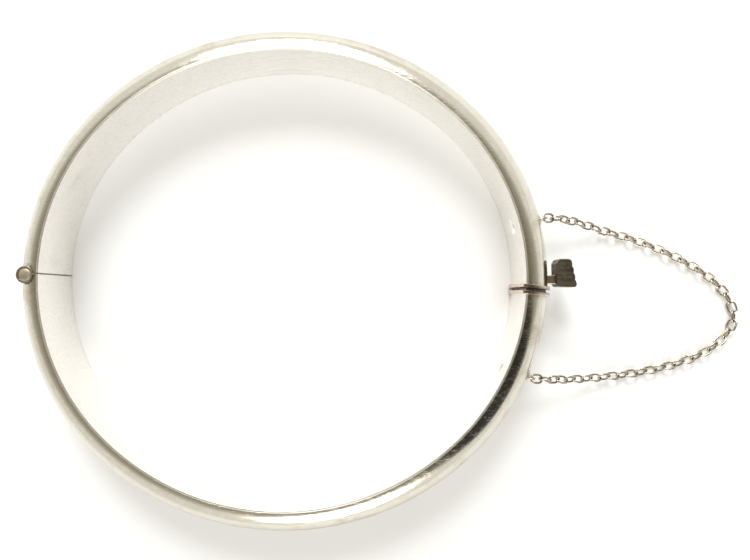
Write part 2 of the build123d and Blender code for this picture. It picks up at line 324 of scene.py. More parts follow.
class Paint:
    """A small helper that adds nodes to one material and joins them."""

    def __init__(self, name):
        self.material = bpy.data.materials.new(name)
        self.material.use_nodes = True
        self.tree = self.material.node_tree
        self.shader = self.tree.nodes["Principled BSDF"]
        self.place = self.add("ShaderNodeTexCoord").outputs["Object"]

    def add(self, kind, **values):
        """A new node with its settings."""
        node = self.tree.nodes.new(kind)
        for key, value in values.items():
            setattr(node, key, value)
        return node

    def join(self, source, target):
        """Joins an output to an input."""
        self.tree.links.new(source, target)

    def clouds(self, grain, detail=6.0, rough=0.6, stretch=(1.0, 1.0, 1.0), turn=(0.0, 0.0, 0.0)):
        """Soft noise whose patches are about this many metres across."""
        mapping = self.add("ShaderNodeMapping")
        mapping.inputs["Scale"].default_value = stretch
        mapping.inputs["Rotation"].default_value = turn
        self.join(self.place, mapping.inputs["Vector"])
        texture = self.add("ShaderNodeTexNoise")
        texture.inputs["Scale"].default_value = 1.0 / grain
        texture.inputs["Detail"].default_value = detail
        texture.inputs["Roughness"].default_value = rough
        self.join(mapping.outputs["Vector"], texture.inputs["Vector"])
        return texture.outputs["Fac"]

    def band_of(self, value, low, high, from_value=0.0, to_value=1.0):
        """Maps a range to another with soft ends."""
        node = self.add("ShaderNodeMapRange", interpolation_type="SMOOTHSTEP", clamp=True)
        node.inputs["From Min"].default_value = low
        node.inputs["From Max"].default_value = high
        node.inputs["To Min"].default_value = from_value
        node.inputs["To Max"].default_value = to_value
        self.join(value, node.inputs["Value"])
        return node.outputs["Result"]

    def reckon(self, operation, first, second=0.5):
        """Arithmetic on two values, the second of which may be a number."""
        node = self.add("ShaderNodeMath", operation=operation)
        for socket, value in zip(node.inputs, (first, second)):
            if isinstance(value, (int, float)):
                socket.default_value = value
            else:
                self.join(value, socket)
        return node.outputs[0]

    def blend(self, share, first, second):
        """Mixes two colours by a share."""
        node = self.add("ShaderNodeMix", data_type="RGBA")
        self.join(share, node.inputs["Factor"])
        for socket, value in ((node.inputs[6], first), (node.inputs[7], second)):
            if isinstance(value, (tuple, list)) or hasattr(value, "hsv"):
                socket.default_value = (*value, 1.0)
            else:
                self.join(value, socket)
        return node.outputs[2]

    def height(self):
        """Height above the floor."""
        split = self.add("ShaderNodeSeparateXYZ")
        self.join(self.place, split.inputs["Vector"])
        return split.outputs["Z"]

    def own(self, name):
        """A value kept on the mesh's own points."""
        return self.add("ShaderNodeAttribute", attribute_name=name).outputs["Fac"]

    def scratches(self, seeds, thin=0.012, long=1.6):
        """Fine hairline scratches in a few directions."""
        total = None
        for turn in seeds:
            lines = self.clouds(
                thin * MM * 14, detail=2.0, rough=0.5,
                stretch=(thin / long, 1.0, 1.0), turn=turn,
            )
            fine = self.band_of(lines, 0.60, 0.66)
            total = fine if total is None else self.reckon("MAXIMUM", total, fine)
        return total

    def relief(self, value, distance, strength=0.5, below=None):
        """Raises the surface a little where the value is high."""
        node = self.add("ShaderNodeBump")
        node.inputs["Strength"].default_value = strength
        node.inputs["Distance"].default_value = distance
        self.join(value, node.inputs["Height"])
        if below is not None:
            self.join(below, node.inputs["Normal"])
        return node.outputs["Normal"]


SCRATCH_TURNS = [(0.3, 0.2, 0.5), (0.1, 1.2, 2.1), (0.7, 0.4, 1.3)]


def silver_metal(
    name, clean, stained, deep, stain_range, gloss_range, grain=2.6 * MM,
    rim_tarnish_and_reflection=0.0, pits=0.35, crease=None, marks=0.5,
):
    """Worn silver: clouds of tarnish, rims darkened by tarnish and a painted reflection, painted shade where
    the crease value is high, pits, hairlines and an uneven gloss.
    """
    paint = Paint(name)
    clouds = paint.clouds(grain, detail=8.0, rough=0.62)
    broad = paint.clouds(grain * 4.5, detail=3.0, rough=0.5)
    both = paint.reckon("ADD", paint.reckon("MULTIPLY", clouds, 0.55), paint.reckon("MULTIPLY", broad, 0.45))
    stain = paint.band_of(both, *stain_range)
    # Darker top and bottom rims: partly tarnish, partly a painted reflection.
    if rim_tarnish_and_reflection:
        height = paint.height()
        top = paint.band_of(height, BAND_TOP - 1.1 * MM, BAND_TOP - 0.1 * MM, 0.0, rim_tarnish_and_reflection)
        bottom = paint.band_of(height, 1.1 * MM, 0.1 * MM, 0.0, rim_tarnish_and_reflection)
        rims = paint.reckon("MAXIMUM", top, bottom)
        streaks = paint.band_of(paint.clouds(0.9 * MM, detail=6.0), 0.30, 0.62, 0.35, 1.0)
        stain = paint.reckon("MAXIMUM", stain, paint.reckon("MULTIPLY", rims, streaks))
    tone = paint.blend(stain, clean, stained)
    specks = paint.band_of(paint.clouds(0.16 * MM, detail=3.0, rough=0.7), 0.66, 0.76, 0.0, pits)
    tone = paint.blend(specks, tone, deep)
    # Painted shade: towards the deep colour where the crease value is high, in gaps, corners and where links
    # meet; a painted dark reflection on the thumb-piece; a random darker tone on some small parts.
    if crease:
        tone = paint.blend(paint.own(crease), tone, deep)
    hairlines = paint.scratches(SCRATCH_TURNS)
    tone = paint.blend(paint.reckon("MULTIPLY", hairlines, 0.25), tone, stained)
    paint.join(tone, paint.shader.inputs["Base Color"])
    paint.shader.inputs["Metallic"].default_value = 1.0
    dull = paint.reckon("ADD", paint.reckon("MULTIPLY", stain, 0.5), paint.reckon("MULTIPLY", clouds, 0.5))
    dull = paint.band_of(dull, 0.1, 0.8, *gloss_range)
    dull = paint.reckon("ADD", dull, paint.reckon("MULTIPLY", hairlines, 0.10))
    paint.join(dull, paint.shader.inputs["Roughness"])
    dents = paint.relief(paint.clouds(1.7 * MM, detail=2.0), 0.007 * MM, 0.4)
    orange = paint.relief(paint.clouds(0.09 * MM, detail=4.0), 0.0006 * MM, 0.25, dents)
    lines = paint.relief(hairlines, -0.004 * MM, marks, orange)
    paint.join(lines, paint.shader.inputs["Normal"])
    return paint.material


def band_silver(tints):
    return silver_metal(
        "Worn shell silver", tints.silver, tints.tarnish, tints.deep_tarnish_and_shade,
        (0.47, 0.70), (0.09, 0.26), rim_tarnish_and_reflection=0.45, crease="crease", pits=0.22, marks=0.35,
    )


def lining_silver(tints):
    return silver_metal(
        "Brushed lining silver", tints.lining, tints.tarnish, tints.deep_tarnish_and_shade,
        (0.54, 0.98), (0.30, 0.48), grain=3.4 * MM, rim_tarnish_and_reflection=0.12, pits=0.5, marks=0.9,
    )


def rose_silver(tints):
    return silver_metal(
        "Copper-tinted silver", tints.rose, tints.tarnish, tints.deep_tarnish_and_shade,
        (0.48, 0.70), (0.16, 0.34), grain=0.9 * MM, pits=0.5, crease="crease",
    )


# Dark silver: a painted dark reflection on the thumb-piece and painted shade in the clasp gap.
def painted_dark_silver(tints):
    return silver_metal(
        "Painted dark thumb-piece and gap", tints.tarnish, tints.deep_tarnish_and_shade, tints.deep_tarnish_and_shade,
        (0.30, 0.60), (0.30, 0.55), grain=0.5 * MM, pits=0.6, crease="crease",
    )


def chain_silver(tints):
    return silver_metal(
        "Chain wire silver", tints.chain, tints.tarnish, tints.deep_tarnish_and_shade,
        (0.36, 0.60), (0.14, 0.30), grain=1.3 * MM, pits=0.3, crease="crease",
    )


def pin_silver(tints):
    return silver_metal(
        "Worn pin head", tints.pin, tints.tarnish, tints.deep_tarnish_and_shade,
        (0.40, 0.64), (0.34, 0.55), grain=0.8 * MM, pits=0.6,
    )


def spring_silver(tints):
    return silver_metal(
        "Hard rolled strip", tints.spring, tints.tarnish, tints.deep_tarnish_and_shade,
        (0.46, 0.70), (0.24, 0.40), grain=1.2 * MM, pits=0.4,
    )


METALS = {
    "shell": band_silver, "lining": lining_silver, "rose": rose_silver,
    "chain": chain_silver, "pin": pin_silver, "spring": spring_silver, "painted_dark": painted_dark_silver,
}
_made = {}


def metal(name):
    """The material of this name, made once."""
    if name not in _made:
        _made[name] = METALS[name](bpy.context.scene.bangle_colours)
    return _made[name]


def mark(piece, name, share):
    """Keeps a value from 0 to 1 on each point of a piece, worked out from where it is."""
    layer = piece.data.attributes.new(name, "FLOAT", "POINT")
    layer.data.foreach_set("value", [share(vertex.co) for vertex in piece.data.vertices])


# ---------------------------------------------------------------- pieces


def end_zone(edge, core, steps):
    """Angles from a section point's own end to the shared angle where even spacing starts."""
    return [edge + (core - edge) * (step / steps) for step in range(steps)]


def swept_half(name, outer, inner, side, material, band):
    """One half of the band: a section of (out, height) pairs carried from clasp to hinge.

    The outer and the inner line have as many points as each other. Each line of the sweep
    stops where it meets the clasp plane, the hinge barrel or the hinge slit.
    """
    sizes = band.sizes
    section = outer + inner[::-1]
    columns = len(section)
    seat = side * (sizes.clasp_gap / 2 + sizes.plate)
    core_start = math.radians(2.5) if side > 0 else math.radians(187.0)
    core_end = math.radians(172.5) if side > 0 else math.radians(355.5)
    steps = 10
    spread = 170
    rows = 2 * steps + spread + 1
    points = [None] * (rows * columns)
    for column, (out, height) in enumerate(section):
        clasp = band.clasp_end(out, seat)
        barrel = band.hinge_end(out, side)
        first, last = (clasp, barrel) if side > 0 else (barrel, clasp + 2 * math.pi)
        angles = end_zone(first, core_start, steps)
        angles += [core_start + (core_end - core_start) * k / spread for k in range(spread + 1)]
        angles += end_zone(last, core_end, steps)[::-1]
        for row, angle in enumerate(angles):
            place = band.point(angle, out, height)
            sway = noise.noise(place / (5.5 * MM)) * sizes.waviness
            ends = min(1.0, min(row, rows - 1 - row) / steps)
            rim = 1.0 - smooth_step(0.93, 1.0, abs(height / MID_HEIGHT - 1))
            points[row * columns + column] = place + unit(angle) * (sway * ends * rim)
    faces = ring_faces(rows, columns)
    half = len(outer)
    for base in (0, (rows - 1) * columns):
        for k in range(half - 1):
            opposite = columns - 1 - k
            faces.append((base + k, base + k + 1, base + opposite - 1, base + opposite))
    return new_object(name, points, faces, material)


class BANGLE_OT_shells(bpy.types.Operator):
    """Build the two domed outer shells"""

    bl_idname = "bangle.shells"
    bl_label = "Outer shells"

    def execute(self, context):
        sizes = context.scene.bangle_sizes
        band = Band(sizes)
        thick = band.thickness
        depth = -band.end_radius - band.arc_centre - band.hinge.x
        # Angles down the dome: even ones, and those where the barrel's outline crosses
        start = math.asin(sizes.lining / thick)
        falls = [start + (math.pi / 2 - start) * k / 16 for k in range(17)]
        for k in range(1, 18):
            out = depth - sizes.barrel_room * math.cos(math.pi * k / 18)
            falls.append(math.asin(out / thick))
        falls = sorted(falls)
        falls += [math.pi - fall for fall in falls[-2::-1]]
        wall = sizes.wall
        outer = [
            (thick * math.sin(fall), MID_HEIGHT * (1 + math.cos(fall))) for fall in falls
        ]
        inner = [
            (max(sizes.lining, (thick - wall) * math.sin(fall)),
             MID_HEIGHT + (MID_HEIGHT - wall) * math.cos(fall)) for fall in falls
        ]
        # The shell's edge rolls over towards the lining
        round_in = [
            (sizes.lining + sizes.seam * (1 - math.cos(turn)),
             BAND_TOP - 0.012 * MM - sizes.seam * (1 - math.sin(turn)) * 1.6)
            for turn in (0.0, 0.4, 0.8, 1.2)
        ]
        mirrored = [(out, BAND_TOP - height) for out, height in round_in[::-1]]
        outer = round_in + outer[1:-1] + mirrored
        inner = [inner[0]] * 3 + inner + [inner[-1]] * 3
        for side, half in ((1, "upper"), (-1, "lower")):
            piece = swept_half(
                f"{half}_shell_dome", outer, inner[:len(outer)] if len(inner) > len(outer) else inner,
                side, metal("shell"), band,
            )
            if side > 0:
                cut_notch(piece, [
                    band.swing_point(depth, along) for depth, along in (
                        (2.0 * MM, -0.5 * MM), (4.8 * MM, -0.5 * MM),
                        (4.8 * MM, 1.80 * MM), (2.0 * MM, 1.80 * MM),
                    )
                ], MID_HEIGHT - 0.85 * MM, MID_HEIGHT + 0.85 * MM)
            # Painted shade round the hinge and along the clasp.
            mark(piece, "crease", lambda co: band_painted_shade(band, co))
            settle(piece, f"{half}_half", "shell_silver", f"{half}_shell")
        return {"FINISHED"}


def cut_notch(piece, corners, low, high):
    """Cuts a square notch through a piece, where the thumb-piece's stem slides in."""
    cutter = slab("notch_cutter", corners, low, high, piece.data.materials[0])
    cut = piece.modifiers.new("Notch", "BOOLEAN")
    cut.operation = "DIFFERENCE"
    cut.solver = "EXACT"
    cut.object = cutter
    graph = bpy.context.evaluated_depsgraph_get()
    notched = bpy.data.meshes.new_from_object(piece.evaluated_get(graph))
    piece.modifiers.remove(cut)
    whole, spare = piece.data, cutter.data
    piece.data = notched
    bpy.data.objects.remove(cutter)
    for mesh in (whole, spare):
        bpy.data.meshes.remove(mesh)
    notched.set_sharp_from_angle(angle=math.radians(38.0))


def band_painted_shade(band, place):
    """Painted shade round the hinge and along the clasp, broken up by noise."""
    level = Vector((place.x, place.y, 0))
    barrel = (level - band.hinge).length
    along = abs(band.clasp_along.dot(level - band.clasp)) if place.x > 0 else 1.0
    near_hinge = 1 - smooth_step(1.1 * MM, 1.55 * MM, barrel)
    near_plate = 1 - smooth_step(0.60 * MM, 0.95 * MM, along)
    grain = 0.5 + noise.noise(place / (0.35 * MM))
    return min(1.0, max(0.0, (0.75 * near_hinge + 0.8 * near_plate) * grain))


class BANGLE_OT_linings(bpy.types.Operator):
    """Build the two flat inner linings"""

    bl_idname = "bangle.linings"
    bl_label = "Inner linings"

    def execute(self, context):
        sizes = context.scene.bangle_sizes
        band = Band(sizes)
        soft = sizes.lining_edge
        turns = [math.pi / 2 * k / 4 for k in range(5)]
        crown = [
            (soft * (1 - math.sin(turn)), BAND_TOP - soft * (1 - math.cos(turn)))
            for turn in turns
        ][::-1]
        middle = [BAND_TOP * k / 24 for k in range(23, 0, -1)]
        inner = [(out, height) for out, height in crown[::-1]]
        inner = [(soft * (1 - math.sin(turn)), BAND_TOP - soft * (1 - math.cos(turn))) for turn in turns]
        inner += [(0.0, height) for height in middle]
        inner += [(out, BAND_TOP - height) for out, height in inner[4::-1]]
        outer = [(sizes.lining - out, height) for out, height in inner]
        for side, half in ((1, "upper"), (-1, "lower")):
            piece = swept_half(
                f"{half}_lining_sheet", outer, inner, side, metal("lining"), band,
            )
            settle(piece, f"{half}_half", "lining_silver", f"{half}_lining")
        return {"FINISHED"}


class BANGLE_OT_end_plates(bpy.types.Operator):
    """Build the end plates at the clasp"""

    bl_idname = "bangle.end_plates"
    bl_label = "End plates"

    def execute(self, context):
        sizes = context.scene.bangle_sizes
        band = Band(sizes)
        over = sizes.plate_overhang
        reach = band.thickness + over
        corner = 0.30 * MM
        curve = []
        for k in range(5):
            turn = math.pi / 2 * k / 4
            curve.append((-over + corner * (1 - math.sin(turn)), corner * (1 - math.cos(turn))))
        curve = curve[::-1]
        # From the inner lower corner, out over the dome and back along the inner edge
        outline = [(out, low) for out, low in curve[::-1]][::-1]
        dome = [
            (reach * math.cos(math.radians(turn)), MID_HEIGHT * (1 + math.sin(math.radians(turn))))
            for turn in range(-90, 91, 3)
        ]
        lower_part = [point for point in dome if point[1] < MID_HEIGHT - 0.85 * MM]
        upper_part = [point for point in dome if point[1] > MID_HEIGHT + 0.85 * MM]
        slot_reach = reach * math.sqrt(1 - (0.85 * MM / MID_HEIGHT) ** 2)
        deep, room, slot_half = 0.5 * MM, 1.65 * MM, 0.85 * MM
        box_half = 1.65 * MM
        inlet = [
            (slot_reach, MID_HEIGHT - slot_half), (deep + room, MID_HEIGHT - slot_half),
            (deep + room, MID_HEIGHT - box_half), (deep, MID_HEIGHT - box_half),
            (deep, MID_HEIGHT + box_half), (deep + room, MID_HEIGHT + box_half),
            (deep + room, MID_HEIGHT + slot_half), (slot_reach, MID_HEIGHT + slot_half),
        ]
        top_corner = [(out, BAND_TOP - low) for out, low in outline[::-1]]
        shapes = {
            "upper": (lower_part + inlet + upper_part, sizes.clasp_gap / 2),
            "lower": (dome, -sizes.clasp_gap / 2 - sizes.plate),
        }
        for half, (edge, start) in shapes.items():
            ring = [*outline[::-1]][::-1] + edge + top_corner
            count = len(ring)
            points = []
            for along in (start, start + sizes.plate):
                for out, height in ring:
                    place = band.clasp + band.clasp_out * out + band.clasp_along * along
                    points.append(place + Vector((0, 0, height)))
            faces = [tuple(range(count)), tuple(range(count, 2 * count))] + ring_faces(2, count)
            piece = new_object(f"{half}_end_flange", points, faces, metal("rose"), 30.0)
            # Painted shade on the plate faces inside the clasp gap.
            mark(piece, "crease", lambda co: clasp_gap_shade(band, co))
            soften(piece, sizes.plate_soft, 3)
            settle(piece, f"{half}_half", "rose_silver", f"{half}_end_plate")
        return {"FINISHED"}


def clasp_gap_shade(band, place):
    """Painted shade on the plate faces that meet inside the clasp gap, and a faint 0.08 elsewhere."""
    along = abs(band.clasp_along.dot(place - band.clasp))
    level = Vector((place.x, place.y, 0))
    under_rim = band.clasp_out.dot(level - band.clasp) > 0 or place.z > BAND_TOP - 0.1 * MM
    return 0.96 if along < band.sizes.clasp_gap * 0.6 and under_rim else 0.08


class BANGLE_OT_hinge(bpy.types.Operator):
    """Build the hinge tubes, the pin and the solder round the tubes"""

    bl_idname = "bangle.hinge"
    bl_label = "Hinge"

    def execute(self, context):
        sizes = context.scene.bangle_sizes
        band = Band(sizes)
        up = Vector((0, 0, 1))
        soft = 0.07 * MM
        for node, body in (
            ("upper_knuckle_top", "upper_half"), ("upper_knuckle_bottom", "upper_half"),
            ("lower_knuckle", "lower_half"),
        ):
            low, high = (corner.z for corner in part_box(node))
            bore = sizes.bore + 0.005 * MM
            profile = [
                (bore, low + soft), (bore + soft * 0.3, low + soft * 0.3), (bore + soft, low),
                (sizes.barrel - soft, low), (sizes.barrel - soft * 0.3, low + soft * 0.3),
                (sizes.barrel, low + soft), (sizes.barrel, high - soft),
                (sizes.barrel - soft * 0.3, high - soft * 0.3), (sizes.barrel - soft, high),
                (bore + soft, high), (bore + soft * 0.3, high - soft * 0.3), (bore, high - soft),
            ]
            piece = tube_of_profile(f"{node}_tube", profile, band.hinge, up, metal("shell"))
            mark(piece, "crease", lambda co: 0.10 + 0.3 * noise.noise(co / (0.3 * MM)))
            settle(piece, body, "shell_silver", node)
        low, high = PIN[0].z, PIN[1].z
        crown = [
            (sizes.bore * math.cos(math.radians(turn)),
             high - 0.16 * MM + 0.16 * MM * math.sin(math.radians(turn)))
            for turn in (0, 12, 25, 40, 55, 70, 82)
        ]
        profile = [(radius, low + high - height) for radius, height in crown[::-1]] + crown
        pin = turned("hinge_pin_heads", profile, band.hinge, up, metal("pin"))
        settle(pin, "upper_half", "pin_silver", "hinge_pin")
        for name, flip in (("hinge_solder_top", False), ("hinge_solder_bottom", True)):
            piece = solder(name, band, flip)
            # Painted shade round the hinge: the solder runs darker, broken up by noise.
            mark(piece, "crease", lambda co: 0.35 + 0.5 * noise.noise(co / (0.3 * MM)))
            settle(piece, "upper_half", "shell_silver")
        for node in ("upper_hinge_seat", "lower_hinge_seat"):
            dress(node, metal("spring"))
        return {"FINISHED"}


def tube_of_profile(name, profile, base, axis, material, segments=72):
    """A turned piece with a hole: a closed profile of (radius, height) round an axis."""
    across = axis.orthogonal().normalized()
    beside = axis.cross(across)
    points = []
    for step in range(segments):
        angle = 2 * math.pi * step / segments
        level = across * math.cos(angle) + beside * math.sin(angle)
        points += [base + axis * height + level * radius for radius, height in profile]
    faces = ring_faces(segments, len(profile), closed_rows=True)
    return new_object(name, points, faces, material)


def solder(name, band, flip):
    """A run of solder from the hinge tube down onto the dome, on the upper half only."""
    sizes = band.sizes
    centre = Vector((-band.arc_centre, 0, 0))
    inner, outer = sizes.barrel - 0.02 * MM, sizes.barrel + sizes.solder
    rows, columns = 61, 12
    grid_top, grid_bottom = [], []
    for row in range(rows):
        share = row / (rows - 1)
        beta = math.radians(14.0) + math.radians(162.0) * share
        swell = math.sin(math.pi * min(1.0, share * 0.80 + 0.04)) ** 0.45
        reach = inner + (outer - inner) * (0.45 + 0.55 * swell)
        reach += noise.noise(Vector((share * 7, 3.1, 0))) * 0.05 * MM
        for column in range(columns):
            part = column / (columns - 1)
            distance = inner + (reach - inner) * part
            place = band.hinge + unit(beta) * distance
            out = (place - centre).length - band.end_radius
            ground = band.dome_height(max(0.0, min(out, band.thickness * 0.985)))
            climb = 0.34 * MM * swell * (1 - part) ** 2.2
            top = min(ground + climb, BAND_TOP - 0.14 * MM) - 0.012 * MM * part
            grid_top.append(Vector((place.x, place.y, top)))
            grid_bottom.append(Vector((place.x, place.y, ground - 0.30 * MM)))
    points = grid_top + grid_bottom
    half = rows * columns
    faces = ring_faces(rows, columns, closed_columns=False)
    faces += [tuple(index + half for index in face) for face in faces]
    rim = [k for k in range(columns)]
    rim += [row * columns + columns - 1 for row in range(1, rows)]
    rim += [half - 1 - k for k in range(1, columns)]
    rim += [row * columns for row in range(rows - 2, 0, -1)]
    for a, b in zip(rim, rim[1:] + rim[:1]):
        faces.append((a, b, b + half, a + half))
    if flip:
        points = [Vector((p.x, p.y, BAND_TOP - p.z)) for p in points]
    return new_object(name, points, faces, metal("shell"), 50.0)


def dress(node, material):
    """Gives a node that stays in view its material."""
    carried = frame["nodes"][node]
    carried.data.materials.clear()
    carried.data.materials.append(material)


class BANGLE_OT_tongue(bpy.types.Operator):
    """Build the folded spring tongue and give the box that it slides into its material"""

    bl_idname = "bangle.tongue"
    bl_label = "Spring tongue"

    def execute(self, context):
        sizes = context.scene.bangle_sizes
        band = Band(sizes)
        thick = sizes.strip
        root_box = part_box("tongue_strip")
        low, high = root_box[0].z, root_box[1].z
        deep, fold_radius = 0.60 * MM, 0.40 * MM
        fold_start = 4.80 * MM
        outer_line = [
            band.swing_point(deep, -1.40 * MM + (fold_start + 1.40 * MM) * k / 14)
            for k in range(15)
        ]
        inner_line = [
            band.swing_point(deep + thick, -1.40 * MM + (fold_start + 1.40 * MM) * k / 14)
            for k in range(15)
        ]
        centre = band.swing_point(deep + fold_radius, fold_start)
        facing = band.swing_angle + fold_start / band.swing_radius
        bend_out = [centre + unit(facing + math.pi - math.pi * k / 14) * fold_radius for k in range(1, 15)]
        bend_in = [
            centre + unit(facing + math.pi - math.pi * k / 14) * (fold_radius - thick)
            for k in range(1, 15)
        ]
        outline = outer_line + bend_out + bend_in[::-1] + inner_line[::-1]
        piece = slab("tongue_fold", outline, low, high, metal("spring"), 50.0)
        soften(piece, 0.045 * MM, 2, 50.0)
        settle(piece, "lower_half", "spring_silver", "tongue_strip")
        # A dark block that fills the gap between the two end plates: painted shade standing for the shadow
        # in the gap
        across, rise = 0.93 * band.thickness, 0.92 * MID_HEIGHT
        ring = []
        for turn in range(-90, 91, 5):
            angle = math.radians(turn)
            place = band.clasp + band.clasp_out * (0.12 * MM + across * math.cos(angle))
            ring.append(place + Vector((0, 0, MID_HEIGHT + rise * math.sin(angle))))
        points = []
        for along in (-sizes.clasp_gap / 2 - 0.02 * MM, sizes.clasp_gap / 2 - 0.07 * MM):
            points += [place + band.clasp_along * along for place in ring]
        count = len(ring)
        faces = [tuple(range(count)), tuple(range(count, 2 * count))] + ring_faces(2, count)
        gap_shade_plug = new_object("clasp_gap_shade_plug", points, faces, metal("painted_dark"), 30.0)
        # Fully dark: painted shade.
        mark(gap_shade_plug, "crease", lambda co: 1.0)
        settle(gap_shade_plug, "lower_half", "spring_silver")
        dress("spring_leaf", metal("spring"))
        dress("clasp_box", metal("spring"))
        return {"FINISHED"}


class BANGLE_OT_thumb_piece(bpy.types.Operator):
    """Build the grooved thumb-piece that presses the spring leaf"""

    bl_idname = "bangle.thumb_piece"
    bl_label = "Thumb-piece"

    def execute(self, context):
        band = Band(context.scene.bangle_sizes)
        low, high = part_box("thumb_piece")[0].z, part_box("thumb_piece")[1].z
        inner, near_depth, away_depth = 4.5 * MM, 7.1 * MM, 6.4 * MM
        start, end = 0.35 * MM, 3.55 * MM
        outline = [band.swing_point(inner + 0.25 * MM, start)]
        outline.append(band.swing_point(near_depth - 0.30 * MM, start))
        near = band.swing_point(near_depth, start + 0.12 * MM)
        away = band.swing_point(away_depth, end - 0.05 * MM)
        along = (away - near).normalized()
        across = Vector((along.y, -along.x, 0))
        span = (away - near).length
        ridges = 4
        for step in range(ridges * 10 + 1):
            share = step / (ridges * 10)
            wave = abs(math.sin(math.pi * ridges * share)) ** 0.7
            outline.append(near + along * span * share + across * (0.13 * MM * (wave - 1)))
        outline.append(band.swing_point(away_depth - 0.55 * MM, end))
        outline.append(band.swing_point(inner + 0.35 * MM, end))
        outline.append(band.swing_point(inner, end - 0.45 * MM))
        outline.append(band.swing_point(inner, start + 0.30 * MM))
        # The thumb-piece's flat takes the dark silver: a painted dark reflection.
        piece = slab("thumb_grip", outline, low, high, metal("painted_dark"), 32.0)
        piece.data.materials.append(metal("rose"))
        bm = bmesh.new()
        bm.from_mesh(piece.data)
        middle = band.swing_point((inner + near_depth) / 2, (start + end) / 2, MID_HEIGHT)
        for vertex in bm.verts:
            slope = 0.16 * (vertex.co - middle).xy.length
            rise = 1 if vertex.co.z > MID_HEIGHT else -1
            vertex.co.z -= rise * slope * 0.6
        bm.to_mesh(piece.data)
        bm.free()
        mark(piece, "crease", lambda co: thumb_dark_reflection(band, co))
        soften(piece, 0.13 * MM, 3, 32.0)
        # The softened edges take the lighter rose silver and stand out light against the painted dark flat.
        piece.modifiers["Softened edges"].material = 1
        settle(piece, "thumb_lever", "rose_silver", "thumb_piece")
        foot, head = 1.80 * MM, inner + 0.3 * MM
        stem_start, stem_end, half = 0.80 * MM, 1.55 * MM, 0.60 * MM
        corners = [
            band.swing_point(foot, stem_start), band.swing_point(head, stem_start - 0.12 * MM),
            band.swing_point(head, stem_end + 0.20 * MM), band.swing_point(foot, stem_end),
        ]
        stem = slab("thumb_stem", corners, MID_HEIGHT - half, MID_HEIGHT + half, metal("rose"))
        mark(stem, "crease", lambda co: 0.4)
        soften(stem, 0.08 * MM, 3)
        settle(stem, "thumb_lever", "rose_silver")
        return {"FINISHED"}


def thumb_dark_reflection(band, place):
    """Painted dark reflection over the thumb-piece: a value from 0.5 up to 1, broken up by noise."""
    return min(1.0, max(0.0, 1.0 + 0.5 * noise.noise(place / (0.5 * MM))))


class BANGLE_OT_chain_eyes(bpy.types.Operator):
    """Build the two chain eyes and their rivets"""

    bl_idname = "bangle.chain_eyes"
    bl_label = "Chain eyes"

    def execute(self, context):
        sizes = context.scene.bangle_sizes
        band = Band(sizes)
        ring_radius, wire = 0.55 * MM, 0.20 * MM
        for half in ("upper", "lower"):
            pivot = JOINTS[f"chain_{half}_links_01_swivel"]
            arm = Vector((pivot.x - band.arc_centre, pivot.y, 0))
            outward = arm.normalized()
            root = Vector((band.arc_centre, 0, MID_HEIGHT)) + outward * band.end_radius
            centre = root + outward * (band.thickness + 1.0 * MM - ring_radius)
            path = []
            for step in range(56):
                turn = 2 * math.pi * step / 56
                path.append(Vector((math.cos(turn), math.sin(turn), 0)) * ring_radius)
            radii = [wire * (1 + 0.12 * math.cos(2 * math.pi * step / 56 - math.pi)) for step in range(56)]
            points, faces = tube(path, radii, 20)
            up = Vector((0, 0, 1))
            turn_in = Matrix((outward, up, outward.cross(up))).transposed()
            points = [centre + turn_in @ point for point in points]
            base_profile = [
                (0.10 * MM, -2.6 * MM), (0.45 * MM, -2.6 * MM), (0.45 * MM, -0.50 * MM),
                (0.92 * MM, -0.42 * MM), (0.90 * MM, -0.10 * MM), (0.84 * MM, 0.04 * MM),
                (0.70 * MM, 0.13 * MM), (0.50 * MM, 0.20 * MM), (0.34 * MM, 0.30 * MM),
                (0.24 * MM, 0.42 * MM), (0.12 * MM, 0.44 * MM),
            ]
            seat = root + outward * band.thickness
            eye = new_object(f"{half}_eye_ring", points, faces, metal("chain"))
            mark(eye, "crease", lambda co: 0.2 + 0.4 * noise.noise(co / (0.25 * MM)))
            settle(eye, f"{half}_half", "chain_silver", f"{half}_chain_eye")
            base = turned(f"{half}_eye_base", base_profile, seat, outward, metal("shell"), 48)
            mark(base, "crease", lambda co: 0.35 + 0.4 * noise.noise(co / (0.25 * MM)))
            settle(base, f"{half}_half", "shell_silver")
            rivet_profile = [
                (1.08 * MM, 0.10 * MM), (1.08 * MM, -0.06 * MM), (1.03 * MM, -0.12 * MM),
                (0.90 * MM, -0.16 * MM), (0.62 * MM, -0.175 * MM), (0.50 * MM, -0.15 * MM),
                (0.46 * MM, -0.15 * MM), (0.30 * MM, -0.19 * MM), (0.08 * MM, -0.20 * MM),
            ]
            rivet = turned(f"{half}_rivet_head", rivet_profile, root, outward, metal("lining"), 48)
            settle(rivet, f"{half}_half", "lining_silver", f"{half}_eye_rivet")
        return {"FINISHED"}


